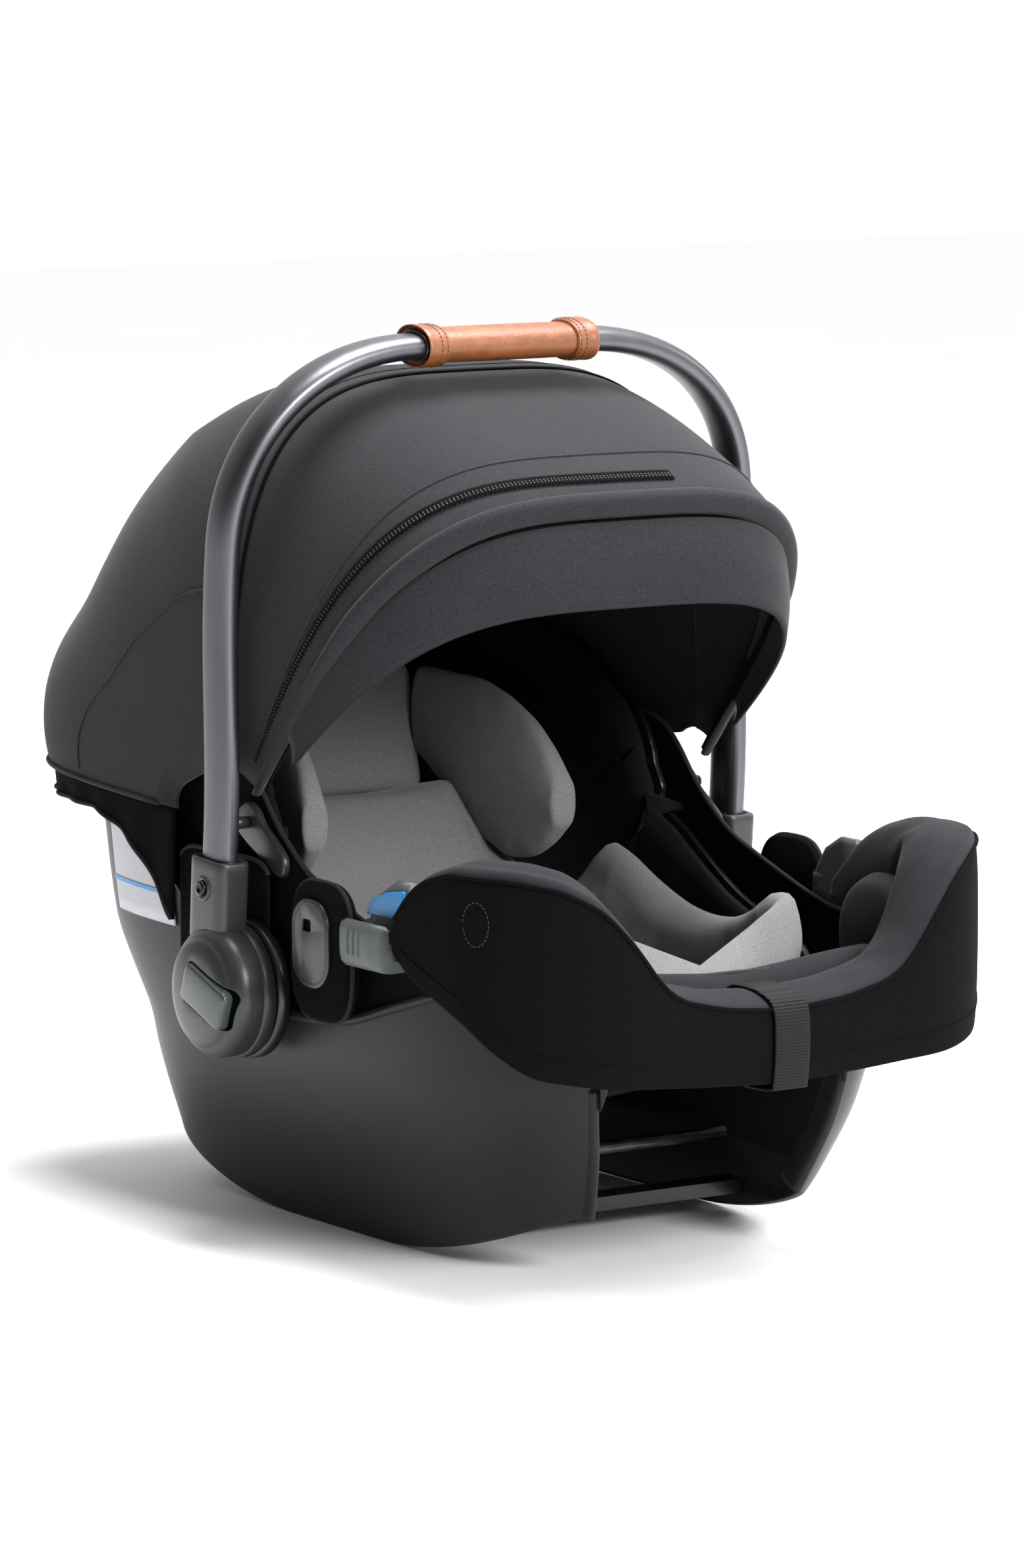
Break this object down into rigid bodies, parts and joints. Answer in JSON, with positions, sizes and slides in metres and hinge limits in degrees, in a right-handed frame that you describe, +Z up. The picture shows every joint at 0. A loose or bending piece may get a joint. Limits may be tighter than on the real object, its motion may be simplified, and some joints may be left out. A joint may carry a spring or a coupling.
{
  "type": "infant car seat",
  "caption": "Rear-facing infant carrier: rocker-edged shell, padded bucket with head support and insert, folding hood with visor, and an arched carry handle with a leather grip.",
  "frame": {"origin": "middle of the bounding box's footprint, at the floor that the rocker edges stand on", "axes": "+X across the seat to the seated child's left, -Y towards the foot end, +Y towards the head end, +Z up"},
  "size_m": [0.444, 0.6744, 0.5755],
  "materials": {
    "shell_plastic": "fine-grained charcoal moulding",
    "dark_plastic": "black moulding",
    "foam": "grey energy-absorbing foam",
    "hood_cloth": "charcoal melange softshell knit",
    "cover_cloth": "black twill",
    "insert_cloth": "mid-grey melange jersey",
    "handle_metal": "satin graphite anodised",
    "grip_leather": "tan stitched leather",
    "trim_plastic": "satin charcoal",
    "button_finish": "satin metallic grey",
    "guide_plastic": "grey-green moulding",
    "blue_inset": "blue",
    "steel": "bright steel",
    "webbing": "black ribbed webbing",
    "red_plastic": "red"
  },
  "bodies": {
    "shell": {"outer_shell": "shell_plastic", "front_cross_rail": "dark_plastic", "rear_cross_rail": "dark_plastic", "front_latch_bar": "steel", "rear_latch_bar": "steel", "seat_bucket": "dark_plastic", "foam_liner": "foam", "seat_cover": "cover_cloth", "body_insert": "insert_cloth", "shoulder_strap_right": "webbing", "shoulder_strap_left": "webbing", "crotch_strap": "webbing", "harness_buckle": "trim_plastic", "chest_clip": "trim_plastic", "splitter_plate": "steel", "adjuster_webbing": "webbing", "head_pad": "insert_cloth", "head_wing_right": "insert_cloth", "head_wing_left": "insert_cloth", "foot_bolster": "cover_cloth", "leg_pad_right": "cover_cloth", "leg_pad_left": "cover_cloth", "rim_strap": "webbing", "hub_base_right": "trim_plastic", "hub_base_left": "trim_plastic", "pivot_shaft_right": "steel", "pivot_shaft_left": "steel", "belt_guide_right": "guide_plastic", "belt_guide_left": "guide_plastic", "belt_guide_inset_right": "blue_inset", "belt_guide_inset_left": "blue_inset", "cover_flap_right": "cover_cloth", "cover_flap_left": "cover_cloth", "cover_tab_right": "trim_plastic", "cover_tab_left": "trim_plastic", "hood_rear_panel": "hood_cloth", "hood_bracket_right": "guide_plastic", "hood_bracket_left": "guide_plastic", "rim_skirt": "cover_cloth", "lever_housing": "dark_plastic"},
    "handle": {"handle_tube": "handle_metal", "handle_hub_right": "trim_plastic", "handle_hub_left": "trim_plastic", "socket_screw_right": "steel", "socket_screw_left": "steel", "grip_sleeve": "grip_leather"},
    "release_button_right": {"release_button_right": "button_finish"},
    "release_button_left": {"release_button_left": "button_finish"},
    "hood_middle": {"hood_middle_bow": "trim_plastic", "hood_middle_panel": "hood_cloth"},
    "hood_front": {"hood_front_bow": "trim_plastic", "hood_front_panel": "hood_cloth", "hood_visor": "hood_cloth"},
    "buckle_button": {"buckle_button": "red_plastic"},
    "base_release_lever": {"base_release_lever": "guide_plastic"}
  },
  "joints": [
    {"name": "handle_pivot", "type": "hinge", "parent": "shell", "child": "handle", "pos_m": [0, 0.0002, 0.158], "axis": [-1, 0, 0], "range_deg": [0, 105]},
    {"name": "release_button_right_slide", "type": "slide", "parent": "handle", "child": "release_button_right", "axis": [-1, 0, 0], "range_m": [0, 0.004], "stiffness_N_per_m": 500},
    {"name": "release_button_left_slide", "type": "slide", "parent": "handle", "child": "release_button_left", "axis": [1, 0, 0], "range_m": [0, 0.004], "stiffness_N_per_m": 500},
    {"name": "hood_middle_pivot", "type": "hinge", "parent": "shell", "child": "hood_middle", "pos_m": [0, 0.0142, 0.262], "axis": [-1, 0, 0], "range_deg": [0, 30]},
    {"name": "hood_front_pivot", "type": "hinge", "parent": "hood_middle", "child": "hood_front", "pos_m": [0, 0.0142, 0.262], "axis": [-1, 0, 0], "range_deg": [0, 30]},
    {"name": "buckle_button_slide", "type": "slide", "parent": "shell", "child": "buckle_button", "axis": [0, -0.063, -0.998], "range_m": [0, 0.0025], "stiffness_N_per_m": 500},
    {"name": "base_release_slide", "type": "slide", "parent": "shell", "child": "base_release_lever", "axis": [0, 0, 1], "range_m": [0, 0.01], "stiffness_N_per_m": 300}
  ],
  "couplings": [
    {"joint": "hood_front_pivot", "follows": "hood_middle_pivot", "ratio": 1}
  ]
}
